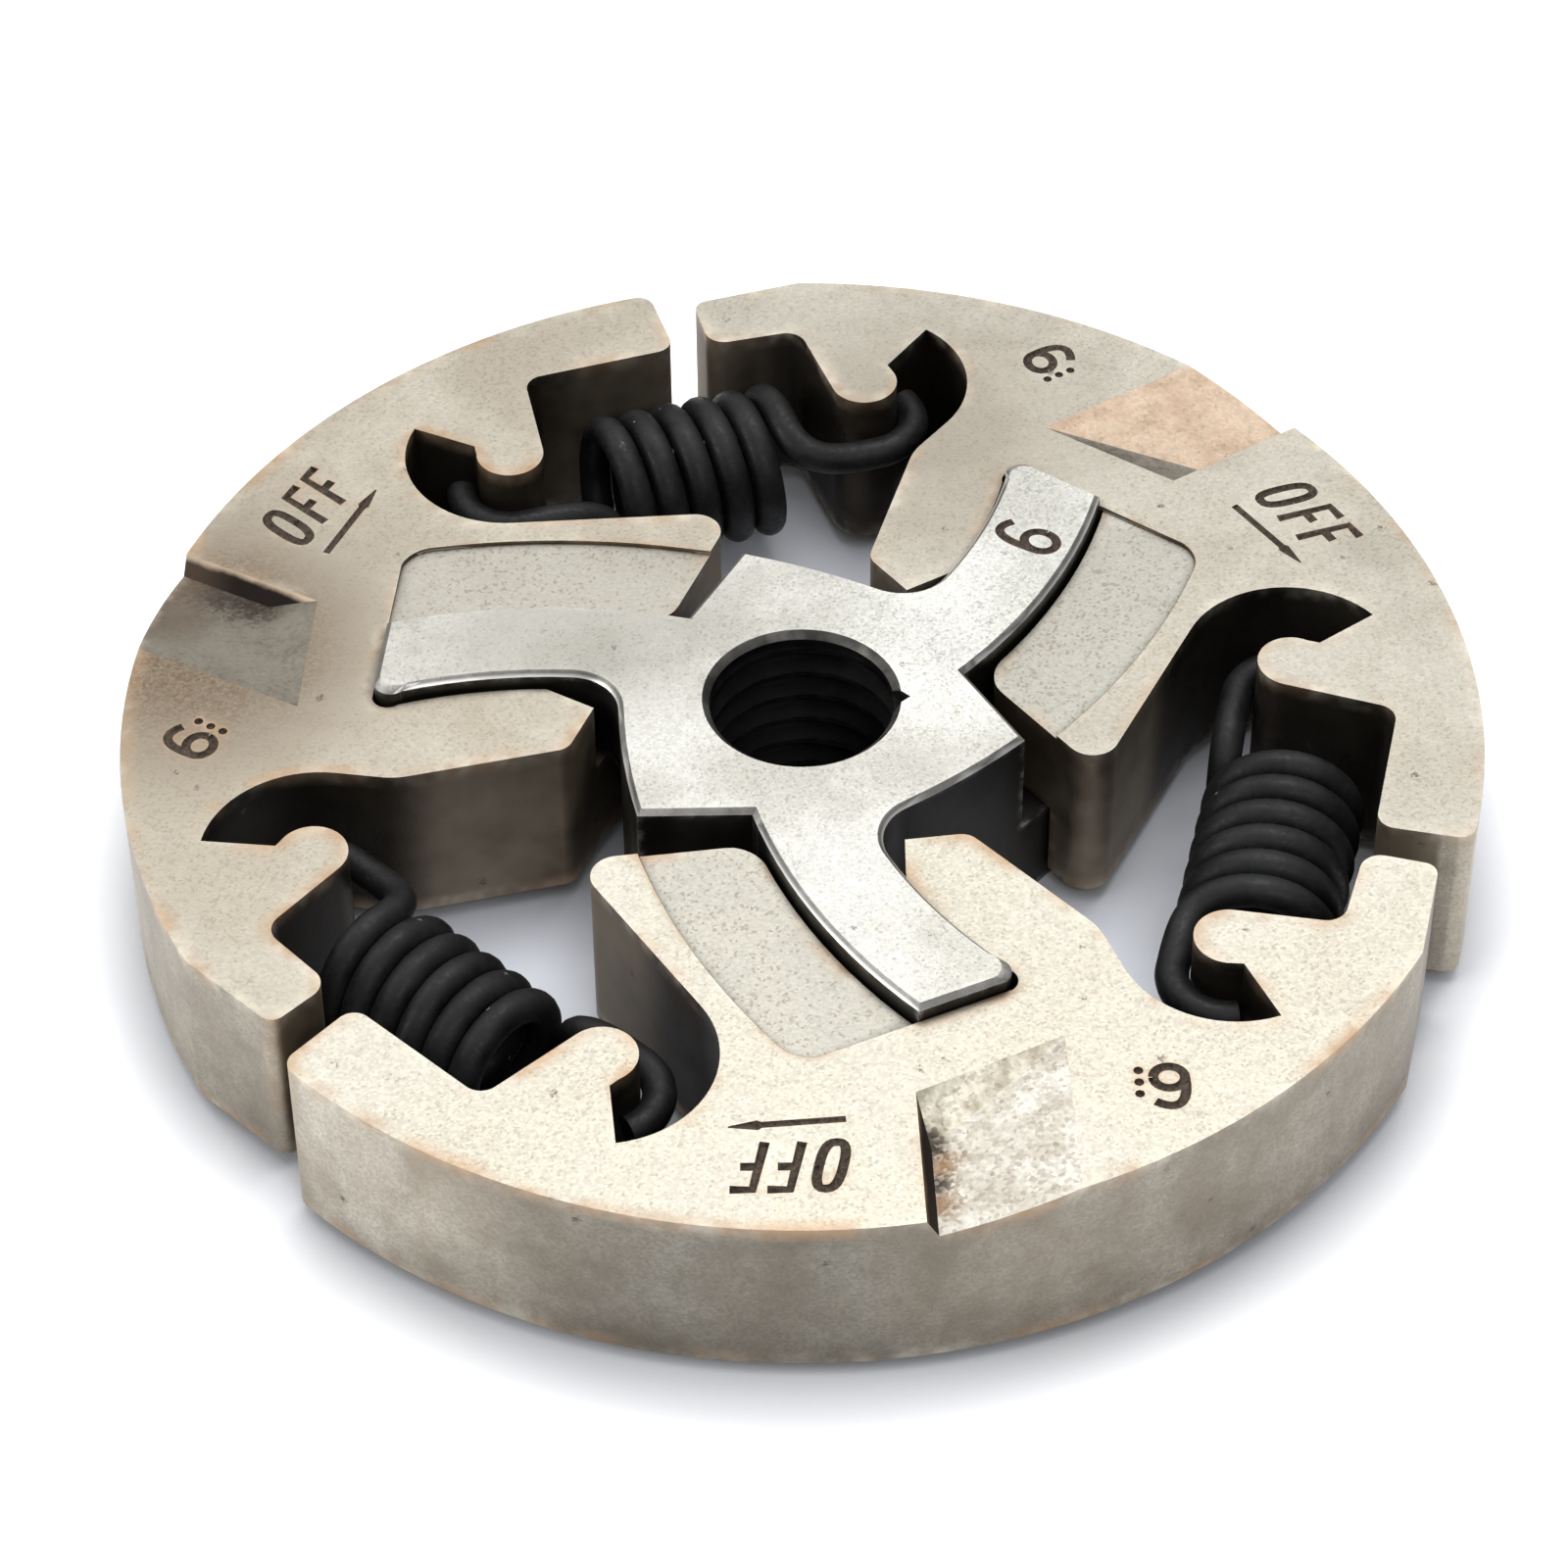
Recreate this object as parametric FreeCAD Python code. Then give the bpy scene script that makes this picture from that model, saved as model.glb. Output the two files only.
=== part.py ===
import FreeCAD, Part
import os
from math import acos, atan2, ceil, cos, degrees, pi, radians, sin, sqrt
from FreeCAD import Vector

# Centrifugal clutch: a threaded hub spider, three sliding shoes and three
# tension springs that hold the shoes in. Millimetres, +Z up, the thread on
# the Z axis, the hub's underside at Z = 0.

# Driving sizes
outer_radius = 37.5        # friction face of the shoes
shoe_thickness = 10.5
hub_proud = 1.0            # the hub stands out of the shoes this far, above and below
web_thickness = 1.2        # shoe wall left between the upper and the lower slot
axial_play = 0.15          # hub arm to slot floor
flank_play = 0.25          # hub arm to slot side
stop_play = 0.08           # hub arm's tip to slot end, shoes closed
bore_radius = 5.1          # thread crests, M12 x 1.75 after a 10.2 mm drill
bore_mouth = 0.4           # countersink at both ends of the thread
hub_chamfer = 0.3
recess_depth = 0.25        # shallow field above the lower slot
ramp_depth = 1.2           # tool step at the rim, at its deep side
knob_radius = 1.95         # round nose that a spring hook hangs on
cavity_radius = 6.12       # room for the hook around each nose
wire = 1.85                # spring wire
coil_gap = 0.11            # between neighbouring coils
coil_radius = 3.6          # centre line of the coil
coil_offset = 0.8          # coil axis, outwards of the line between the noses
coil_turns = 5.75
hook_play = 0.02
hook_sweep = 110.0         # degrees that a hook wraps around its nose
hook_lift = 2.1            # hooks lie this far above mid height
shoe_count = 3

# How finely the wire is drawn
wire_sides = 8
wire_reach = 0.52 * wire   # centre line to a corner, so that the flats lie just inside the round wire
hook_steps = 6
bend_steps = 7
turn_steps = 14

# Heights
hub_thickness = shoe_thickness + 2 * hub_proud
shoe_low = hub_proud
shoe_top = hub_proud + shoe_thickness
middle = hub_thickness / 2
slot_floor = middle + web_thickness / 2
slot_roof = middle - web_thickness / 2

# The plan is drawn for a friction face of this radius and grows with it
drawn_radius = 37.5
plan = outer_radius / drawn_radius
sector = 360.0 / shoe_count


def at(x, y, z=0.0):
    return Vector(x * plan, y * plan, z)


def polar(centre, radius, angle):
    return centre + Vector(radius * cos(radians(angle)), radius * sin(radians(angle)), 0)


def bearing(centre, point):
    return degrees(atan2(point.y - centre.y, point.x - centre.x))


def line_on_circle(a, b, centre, radius):
    """Where the line from a towards b first enters the circle about centre."""
    u = b - a
    u.normalize()
    along = (centre - a).dot(u)
    foot = a + u * along
    half = sqrt(radius ** 2 - (foot - centre).Length ** 2)
    return foot - u * half


def two_circles(centre_a, radius_a, centre_b, radius_b, side):
    """The meeting point of two circles on one side of the line between centres."""
    gap = centre_b - centre_a
    distance = gap.Length
    along = (distance ** 2 + radius_a ** 2 - radius_b ** 2) / (2 * distance)
    across = sqrt(radius_a ** 2 - along ** 2) * side
    gap.normalize()
    return centre_a + gap * along + Vector(-gap.y, gap.x, 0) * across


def tangent(point, centre, radius, side):
    """Where a line from point touches the circle, on the chosen side."""
    reach = (point - centre).Length
    swing = degrees(acos(radius / reach)) * side
    return polar(centre, radius, bearing(centre, point) + swing)


def wire_of(path):
    """A closed wire. An item is (point, corner radius), or (point, mid point) for an arc to point."""
    count = len(path)
    ends = []
    for i, (point, extra) in enumerate(path):
        leaving = path[(i + 1) % count]
        if isinstance(extra, Vector) or not extra or isinstance(leaving[1], Vector):
            ends.append((point, None, point))
            continue
        before = path[i - 1][0] - point
        after = leaving[0] - point
        before.normalize()
        after.normalize()
        half = acos(before.dot(after)) / 2
        reach = extra * plan / sin(half) * cos(half)
        to_middle = before + after
        to_middle.normalize()
        centre_far = extra * plan / sin(half)
        nearest = point + to_middle * (centre_far - extra * plan)
        ends.append((point + before * reach, nearest, point + after * reach))
    edges = []
    for i, (point, extra) in enumerate(path):
        start = ends[i - 1][2]
        stop = ends[i][0]
        if isinstance(extra, Vector):
            edges.append(Part.Arc(start, extra, stop).toShape())
        elif (stop - start).Length > 1e-6:
            edges.append(Part.makeLine(start, stop))
        if ends[i][1]:
            edges.append(Part.Arc(ends[i][0], ends[i][1], ends[i][2]).toShape())
    return Part.Wire(Part.__sortEdges__(edges))


def slab(path, low, high):
    face = Part.Face(wire_of(path))
    solid = face.extrude(Vector(0, 0, high - low))
    solid.translate(Vector(0, 0, low))
    return solid


def arc_between(centre, radius, start, stop):
    """Middle point of the shorter arc from start to stop."""
    first = bearing(centre, start)
    turn = (bearing(centre, stop) - first + 180) % 360 - 180
    return polar(centre, radius, first + turn / 2)


def rounded(corner, before, after):
    """Middle point of the round that replaces a corner, from before it to after it."""
    return corner + (before + after - corner * 2) * 0.28


def solid_of(polygons):
    """A closed solid from flat polygons."""
    faces = [Part.Face(Part.makePolygon(list(ring) + [ring[0]])) for ring in polygons]
    shell = Part.Shell(faces)
    shell.sewShape()
    solid = Part.Solid(shell)
    if solid.Volume < 0:
        solid.reverse()
    return solid


def turned(shape, index):
    copy = shape.copy()
    copy.rotate(Vector(0, 0, 0), Vector(0, 0, 1), sector * index)
    return copy


def turned_point(point, index):
    return polar(Vector(0, 0, 0), point.Length, bearing(Vector(0, 0, 0), point) + sector * index)


# Each shoe swings on arcs that share one centre, the pivot
centre = Vector(0, 0, 0)
pivot = at(30.12, 0.81)
next_pivot = turned_point(pivot, 1)
flank_inner = 28.61 * plan     # nearer side of an upper arm
flank_middle = 34.24 * plan    # farther side of an upper arm, nearer side of a lower arm
flank_outer = 40.23 * plan     # farther side of a lower arm

# The line that ends both slots, and the arm tips just short of it
end_left = at(0.1, -26.08)
end_right = at(9.9, -21.63)
end_along = end_right - end_left
end_along.normalize()
end_out = Vector(end_along.y, -end_along.x, 0)
tip_left = end_left - end_out * stop_play
line_reach = 12 * plan         # takes a line across all flanks
far_left = end_left - end_along * line_reach
far_tip = tip_left - end_along * line_reach
slot_mouth = -8.5 * plan       # slots are open inwards to this height in the plan
overcut = 1.0                  # cutters stand out of the shoe this far


def on_flank(radius, y):
    """The point at height y on an arc about the pivot, on the thread's side."""
    return Vector(pivot.x - sqrt(radius ** 2 - (y - pivot.y) ** 2), y, 0)


# Noses for the springs: nose_b at the shoe's leading end, nose_a at the other
nose_b = at(22.44, -17.49)
nose_a = at(-10.54, -25.54)


def shoe_shape():
    rim_start = polar(centre, outer_radius, -30.1)
    rim_stop = polar(centre, outer_radius, -134.8)
    end_a_corner = polar(centre, outer_radius, -136.2)
    end_a_inner = at(-23.5, -22.04)
    toward = end_a_inner - end_a_corner
    toward.normalize()
    end_a_face = end_a_corner + toward * 0.9 * plan
    pocket_a = at(-16.67, -28.36)
    post_a = tangent(pocket_a, nose_a, knob_radius, -1)
    notch_a = nose_a + at(0.47, -2.16)
    tip_a = polar(nose_a, cavity_radius, 278.0)
    leg_a_foot = at(-10.88, -14.05)
    leg_a_wall = tangent(leg_a_foot, nose_a, cavity_radius, -1)
    leg_b_bend = at(15.54, -16.69)
    leg_b_wall = tangent(leg_b_bend, nose_b, cavity_radius, 1)
    tip_b = polar(nose_b, cavity_radius, 291.5)
    notch_b = nose_b + at(0.58, -1.98)
    pocket_b = at(28.47, -16.55)
    post_b = tangent(pocket_b, nose_b, knob_radius, 1)
    nose_a_stop = polar(nose_a, knob_radius, -60)
    nose_b_start = polar(nose_b, knob_radius, 262)
    outline = [
        (rim_start, 0),
        (rim_stop, polar(centre, outer_radius, -82.0)),
        (end_a_face, end_a_corner + at(0.37, 0.01)),
        (end_a_inner, 1.0),
        (pocket_a, 1.1),
        (post_a, 0),
        (nose_a_stop, polar(nose_a, knob_radius, 35)),
        (notch_a, 0),
        (tip_a, 0),
        (leg_a_wall, polar(nose_a, cavity_radius, -20)),
        (at(-12.47, -11.49), 1.5),
        (at(-4.25, -10.41), 0),
        (at(5.51, -10.11), 0.5),
        (at(8.92, -9.67), 1.1),
        (leg_b_bend, 4.0),
        (leg_b_wall, 0),
        (tip_b, polar(nose_b, cavity_radius, 250)),
        (notch_b, 0),
        (nose_b_start, 0),
        (post_b, polar(nose_b, knob_radius, 180)),
        (pocket_b, 1.2),
        (at(30.07, -11.33), 1.2),
        (at(33.97, -12.37), 0.8),
    ]
    shoe = slab(outline, shoe_low, shoe_top)

    # Upper slot, for the hub's upper arm, with a rounded mouth on one side
    wall_left = flank_middle + flank_play
    wall_right = flank_inner - flank_play
    corner_left = line_on_circle(far_left, end_left, pivot, wall_left)
    corner_right = line_on_circle(far_left, end_left, pivot, wall_right)
    mouth_edge = at(-3.9, -10.37)
    mouth_left = on_flank(wall_left, -11.7 * plan)
    mouth_right = on_flank(wall_right, -13.2 * plan)
    round_right = on_flank(wall_right, corner_right.y + 1.1 * plan)
    before_right = corner_right - end_along * 1.0 * plan
    upper_slot = [
        (Vector(mouth_edge.x, slot_mouth, 0), 0),
        (mouth_edge, 0),
        (mouth_left, at(-2.85, -10.75)),
        (corner_left, arc_between(pivot, wall_left, mouth_left, corner_left)),
        (before_right, 0),
        (round_right, rounded(corner_right, before_right, round_right)),
        (mouth_right, arc_between(pivot, wall_right, round_right, mouth_right)),
        (Vector(mouth_right.x, slot_mouth, 0), 0),
    ]
    shoe = shoe.cut(slab(upper_slot, slot_floor, shoe_top + overcut))

    # Lower slot, for the hub's lower arm
    roof_left = flank_outer + flank_play
    roof_right = flank_middle - flank_play
    low_left = line_on_circle(far_left, end_left, pivot, roof_left)
    low_right = line_on_circle(far_left, end_left, pivot, roof_right)
    open_left = on_flank(roof_left, slot_mouth)
    open_right = on_flank(roof_right, slot_mouth)
    lower_slot = [
        (open_left, 0),
        (low_left, arc_between(pivot, roof_left, open_left, low_left)),
        (low_right, 0),
        (open_right, arc_between(pivot, roof_right, low_right, open_right)),
    ]
    shoe = shoe.cut(slab(lower_slot, shoe_low - overcut, slot_roof))

    # Shallow field on the top, over the lower slot
    field_edge = flank_outer + 0.5 * plan
    field_corner = line_on_circle(far_left, end_left, pivot, field_edge)
    field_round = 1.3 * plan
    field_top = on_flank(field_edge, slot_mouth)
    field_low = on_flank(field_edge, field_corner.y + field_round)
    field_end = field_corner + end_along * field_round
    field_start = on_flank(wall_left, slot_mouth)
    field = [
        (field_top, 0),
        (field_low, arc_between(pivot, field_edge, field_top, field_low)),
        (field_end, rounded(field_corner, field_low, field_end)),
        (corner_left, 0),
        (field_start, arc_between(pivot, wall_left, corner_left, field_start)),
    ]
    shoe = shoe.cut(slab(field, shoe_top - recess_depth, shoe_top + overcut))

    # Tool step at the rim: a leaning step on one side, a floor that rises from its foot
    # and runs out on the other, and a shallow bank between the floor and the top
    deep_in = at(5.6, -28.3)
    foot_in = at(6.35, -31.2)
    thin_in = at(13.4, -24.46)
    beyond = -40.0 * plan
    lean = -0.04
    deep_out, foot_out, thin_out = [
        Vector(p.x + (beyond - p.y) * lean, beyond, 0) for p in (deep_in, foot_in, thin_in)]
    up = Vector(0, 0, shoe_top + overcut)
    face = Vector(0, 0, shoe_top)
    floor = Vector(0, 0, shoe_top - ramp_depth)
    ramp = solid_of([
        [deep_in + up, deep_out + up, thin_out + up, thin_in + up],
        [foot_in + floor, foot_out + floor, thin_out + face, thin_in + face],
        [deep_in + face, deep_out + face, foot_out + floor, foot_in + floor],
        [deep_in + face, foot_in + floor, thin_in + face],
        [deep_in + up, deep_out + up, deep_out + face, deep_in + face],
        [deep_in + up, thin_in + up, thin_in + face, deep_in + face],
        [thin_in + up, thin_out + up, thin_out + face, thin_in + face],
        [deep_out + up, thin_out + up, thin_out + face, foot_out + floor, deep_out + face],
    ])
    return shoe.cut(ramp).removeSplitter()


def upper_path(inset):
    """Outline of the hub's core and upper arms, drawn in by the inset all round."""
    fillet = 2.8 * plan + inset
    outer = flank_outer - inset
    far = flank_middle - inset
    near = flank_inner + inset
    low = Vector(0, inset, 0)
    flat_a = at(-30, -9.13) + low
    flat_b = at(0, -8.8) + low
    tip_a = far_tip - end_out * inset
    tip_b = tip_left - end_out * inset
    core_left = line_on_circle(flat_a, flat_b, pivot, outer)
    core_right = line_on_circle(flat_a, flat_b, pivot, far)
    root = two_circles(pivot, near - fillet, next_pivot, outer + fillet, 1)
    root_flank = polar(pivot, near, bearing(pivot, root))
    root_next = polar(next_pivot, outer, bearing(next_pivot, root))
    root_middle = arc_between(root, fillet, root_flank, root_next)
    tip_far = line_on_circle(tip_a, tip_b, pivot, far)
    tip_near = line_on_circle(tip_a, tip_b, pivot, near)
    round_flank = on_flank(near, tip_near.y + 1.2 * plan)
    round_tip = tip_near - end_along * 1.1 * plan
    round_middle = rounded(tip_near, round_flank, round_tip)
    path = []
    for i in range(shoe_count):
        start = turned_point(root_next, i - 1)
        corner = turned_point(core_left, i)
        path += [
            (start, turned_point(root_middle, i - 1)),
            (corner, arc_between(turned_point(pivot, i), outer, start, corner)),
            (turned_point(core_right, i), 0),
            (turned_point(tip_far, i),
             turned_point(arc_between(pivot, far, core_right, tip_far), i)),
            (turned_point(round_tip, i), 0),
            (turned_point(round_flank, i), turned_point(round_middle, i)),
            (turned_point(root_flank, i),
             turned_point(arc_between(pivot, near, round_flank, root_flank), i)),
        ]
    return path


def hub_shape():
    outline = upper_path(0)
    lower = []
    core = []
    tip = line_on_circle(far_tip, tip_left, pivot, flank_outer)
    for i in range(shoe_count):
        first = i * len(outline) // shoe_count
        start, corner, inner, upper_tip = [item[0] for item in outline[first:first + 4]]
        middle_pivot = turned_point(pivot, i)
        far = turned_point(tip, i)
        lower += [
            (start, 0),
            (far, arc_between(middle_pivot, flank_outer, start, far)),
            (upper_tip, 0),
            (inner, arc_between(middle_pivot, flank_middle, upper_tip, inner)),
        ]
        core += [
            (start, 0),
            (corner, arc_between(middle_pivot, flank_outer, start, corner)),
            (inner, 0),
        ]
    arm_floor = slot_floor + axial_play
    arm_roof = slot_roof - axial_play
    shoulder = hub_thickness - hub_chamfer
    hub = slab(outline, arm_floor, shoulder)
    edge_low = wire_of(outline)
    edge_low.translate(Vector(0, 0, shoulder))
    edge_high = wire_of(upper_path(hub_chamfer))
    edge_high.translate(Vector(0, 0, hub_thickness))
    hub = hub.fuse(Part.makeLoft([edge_low, edge_high], True, True))
    hub = hub.fuse(slab(core, arm_roof, arm_floor)).fuse(slab(lower, 0, arm_roof))
    hub = hub.cut(Part.makeCylinder(bore_radius, hub_thickness))
    mouth = Part.makeCone(bore_radius + bore_mouth, bore_radius, bore_mouth)
    hub = hub.cut(mouth)
    mouth.rotate(Vector(0, 0, 0), Vector(1, 0, 0), 180)
    mouth.translate(Vector(0, 0, hub_thickness))
    return hub.cut(mouth).removeSplitter()


def bend(start, leave, arrive, stop):
    """A smooth bend from start to stop; leave and arrive are the points that pull on it."""
    points = []
    for i in range(bend_steps + 1):
        f = i / bend_steps
        g = 1 - f
        points.append(start * g ** 3 + leave * (3 * f * g * g) + arrive * (3 * f * f * g) + stop * f ** 3)
    return points


def spring_path():
    """Centre line of the wire, from the hook on nose_b to the hook on the next shoe's nose_a.

    It is drawn in the spring's own axes: x along it, y outwards, z up from mid height.
    """
    far_nose = turned_point(nose_a, 1)
    along = far_nose - nose_b
    span = along.Length
    along.normalize()
    out = Vector(along.y, -along.x, 0)
    pitch = wire + coil_gap
    coil_start = (span - coil_turns * pitch) / 2
    hook = knob_radius + wire_reach + hook_play

    def on_coil(angle):
        turn = radians(angle)
        return Vector(coil_start + pitch * (90 - angle) / 360,
                      coil_offset + coil_radius * cos(turn), coil_radius * sin(turn))

    def heading(angle):
        turn = radians(angle)
        return Vector(pitch / (2 * pi * coil_radius), sin(turn), -cos(turn))

    def on_hook(angle, centre, side):
        reach = hook / cos(radians(hook_sweep / hook_steps / 2))
        return Vector(centre + side * reach * sin(radians(angle)), -reach * cos(radians(angle)), hook_lift)

    # Hook to coil: straight past the nose, then over the top. Coil to hook: up the inner side
    straight = 0.9
    long_pull = 2.6
    short_pull = 1.5
    first_angle = 105.0
    last_angle = 90.0 - 360.0 * coil_turns
    leave_hook = Vector(straight, -hook, hook_lift)
    reach_hook = Vector(span - straight, -hook, hook_lift)
    ahead = Vector(long_pull, 0, 0)
    onto = on_coil(first_angle)
    off = on_coil(last_angle)
    sweep = [hook_sweep * (1 - i / hook_steps) for i in range(hook_steps + 1)]
    path = [on_hook(angle, 0.0, -1) for angle in sweep]
    path += bend(leave_hook, leave_hook + ahead, onto - heading(first_angle) * long_pull, onto)
    count = ceil(coil_turns * turn_steps)
    path += [on_coil(90 + (last_angle - 90) * i / count) for i in range(1, count)]
    path += bend(off, off + heading(last_angle) * short_pull, reach_hook - ahead, reach_hook)
    path += [on_hook(angle, span, 1) for angle in reversed(sweep)]
    return [nose_b + along * p.x + out * p.y + Vector(0, 0, middle + p.z) for p in path]


def spring_shape():
    """Wire with flat sides, mitred at each step of its path."""
    points = spring_path()
    heading = points[1] - points[0]
    heading.normalize()
    side = heading.cross(Vector(0, 0, 1))
    side.normalize()
    lift = side.cross(heading)
    ring = []
    for i in range(wire_sides):
        angle = radians((i + 0.5) * 360 / wire_sides)
        ring.append(points[0] + side * (wire_reach * cos(angle)) + lift * (wire_reach * sin(angle)))
    rings = [ring]
    for i in range(1, len(points)):
        heading = points[i] - points[i - 1]
        heading.normalize()
        normal = heading
        if i + 1 < len(points):
            onward = points[i + 1] - points[i]
            onward.normalize()
            normal = heading + onward
        ring = [p + heading * ((points[i] - p).dot(normal) / heading.dot(normal)) for p in ring]
        rings.append(ring)
    polygons = [rings[0], rings[-1]]
    for first, second in zip(rings, rings[1:]):
        for i in range(wire_sides):
            j = (i + 1) % wire_sides
            polygons.append([first[i], first[j], second[j], second[i]])
    return solid_of(polygons)


os.makedirs("parts", exist_ok=True)
hub = hub_shape()
hub.exportStep("parts/hub.step")
print("hub", hub.isValid(), len(hub.Solids), round(hub.Volume, 1))
shoe = shoe_shape()
spring = spring_shape()
for i in range(shoe_count):
    turned(shoe, i).exportStep("parts/shoe_%d.step" % (i + 1))
    turned(spring, i).exportStep("parts/spring_%d.step" % (i + 1))
print("shoe", shoe.isValid(), len(shoe.Solids), round(shoe.Volume, 1))
print("spring", spring.isValid(), len(spring.Solids), round(spring.Volume, 1))
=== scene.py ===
# %% [markdown]
# # A three-shoe chainsaw clutch
# A centrifugal clutch has a steel hub that screws onto the engine's shaft, three heavy sintered
# shoes that slide on the hub's curved arms, and three black coil springs that pull the shoes in.
# The solids come finished from CAD. This lesson gives them what CAD leaves out: broken edges,
# stamped marks, a screw thread, round spring wire, and the look of worn sintered steel.

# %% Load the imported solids
import math

import bmesh
import bpy
from mathutils import Matrix, Vector


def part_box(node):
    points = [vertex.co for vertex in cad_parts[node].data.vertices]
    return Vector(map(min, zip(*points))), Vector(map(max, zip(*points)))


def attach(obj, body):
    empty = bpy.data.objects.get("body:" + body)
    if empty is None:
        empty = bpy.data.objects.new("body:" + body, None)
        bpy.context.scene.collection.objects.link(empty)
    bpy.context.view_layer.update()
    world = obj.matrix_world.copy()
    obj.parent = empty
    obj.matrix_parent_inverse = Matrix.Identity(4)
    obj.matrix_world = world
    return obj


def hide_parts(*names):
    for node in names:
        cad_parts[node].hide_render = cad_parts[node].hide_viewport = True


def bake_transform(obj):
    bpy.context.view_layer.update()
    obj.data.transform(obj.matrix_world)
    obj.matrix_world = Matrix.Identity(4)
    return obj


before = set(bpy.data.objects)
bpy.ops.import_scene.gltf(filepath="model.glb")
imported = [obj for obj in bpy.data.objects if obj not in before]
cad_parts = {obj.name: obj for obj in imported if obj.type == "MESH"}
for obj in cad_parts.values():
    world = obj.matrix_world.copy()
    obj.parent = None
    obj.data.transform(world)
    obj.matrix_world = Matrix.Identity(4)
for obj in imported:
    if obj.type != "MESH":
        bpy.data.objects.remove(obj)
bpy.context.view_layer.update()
scene = bpy.context.scene
scene.view_settings.view_transform = "Standard"
mm = 0.001
print("nodes:", sorted(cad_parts))

# %% [markdown]
# ## The camera
# The photograph looks down at about 45 degrees through a long lens. The lens, place and small roll
# were found by fitting the rim circle and the hub's corners. A camera in Blender looks along its
# own -Z, so a turn about X tips it down, and a last turn about its own Z gives the roll.

# %% Set the camera
camera_place = (-0.00101, -0.1968, 0.1996)
tip_down = Matrix.Rotation(math.radians(45.44), 4, "X")
roll = Matrix.Rotation(math.radians(-0.47), 4, "Z")
lens = bpy.data.cameras.new("photo_lens")
lens.sensor_width = 36.0
lens.lens = 113.2
camera = bpy.data.objects.new("photo_camera", lens)
scene.collection.objects.link(camera)
camera.matrix_world = Matrix.Translation(camera_place) @ tip_down @ roll
scene.camera = camera
print("camera distance in mm:", round(camera.location.length / mm))

# %% [markdown]
# ## Small helpers for nodes
# Every finish below is a node tree. These helpers add a node with its values and join two sockets,
# so that a material reads as a short list of what it is made of. Each material starts from the
# Principled shader that Blender puts into a new one.


# %% Node helpers
def add(tree, kind, values=None, **settings):
    """Add a node, set its properties, then its input values by name or number."""
    node = tree.nodes.new(kind)
    for name, value in settings.items():
        setattr(node, name, value)
    for key, value in (values or {}).items():
        node.inputs[key].default_value = value
    return node


def join(tree, source, target):
    tree.links.new(source, target)


def feed(tree, value, target):
    """Fill an input: with a link from a socket, a colour of three numbers, or one number."""
    if isinstance(value, bpy.types.NodeSocket):
        join(tree, value, target)
    elif isinstance(value, tuple):
        target.default_value = (*value, 1.0)
    else:
        target.default_value = value


def math_node(tree, operation, first, second=None):
    """One Math node; each operand is a socket or a plain number."""
    node = add(tree, "ShaderNodeMath", operation=operation)
    for i, operand in enumerate((first, second)):
        if operand is not None:
            feed(tree, operand, node.inputs[i])
    return node.outputs[0]


def span(tree, value, low, high, out_low=0.0, out_high=1.0):
    """Map low..high of a value smoothly onto out_low..out_high."""
    node = add(tree, "ShaderNodeMapRange", interpolation_type="SMOOTHSTEP")
    limits = {"Value": value, "From Min": low, "From Max": high,
              "To Min": out_low, "To Max": out_high}
    for label, limit in limits.items():
        feed(tree, limit, node.inputs[label])
    return node.outputs["Result"]


# A Mix node has sockets for numbers, vectors and colours. These are the ones for colours.
mix_factor, mix_first, mix_second, mix_result = 0, 6, 7, 2


def blend_colour(tree, mask, first, second, mode="MIX"):
    """Mix two colours by a mask; each colour is a socket or three numbers."""
    node = add(tree, "ShaderNodeMix", data_type="RGBA", blend_type=mode)
    for i, value in ((mix_factor, mask), (mix_first, first), (mix_second, second)):
        feed(tree, value, node.inputs[i])
    return node.outputs[mix_result]


def lay_over(tree, mask, amount, under, colour):
    """Lay a colour over another one, by a share of a mask."""
    return blend_colour(tree, math_node(tree, "MULTIPLY", mask, amount), under, colour)


def start_material(name, metallic, roughness, shine=0.5):
    """A new material, its node tree and its Principled shader."""
    material = bpy.data.materials.new(name)
    material.use_nodes = True
    shader = material.node_tree.nodes["Principled BSDF"]
    shader.inputs["Metallic"].default_value = metallic
    shader.inputs["Roughness"].default_value = roughness
    shader.inputs["Specular IOR Level"].default_value = shine
    return material, material.node_tree, shader


# %% [markdown]
# ## The studio
# The photograph has a white sweep with a soft shadow right under the part. The floor is a pale matt
# plane that glows for the camera's rays and for reflections, so it reads as white. A stronger light
# would do that too, but it would also wash out the metal. An ambient occlusion node takes the glow
# away close to the part: a painted shadow, laid over the lamps' own shadow. Inside the rim's circle
# there is less glow and it is bluish: painted bluish shade on the floor seen through the windows.

# %% Make the floor
floor_reach = 2.0
corners = [(x * floor_reach, y * floor_reach, 0) for x, y in ((-1, -1), (1, -1), (1, 1), (-1, 1))]
floor_mesh = bpy.data.meshes.new("floor")
floor_mesh.from_pydata(corners, [], [(0, 1, 2, 3)])
floor = bpy.data.objects.new("floor", floor_mesh)
scene.collection.objects.link(floor)
print("floor side in m:", 2 * floor_reach)

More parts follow.
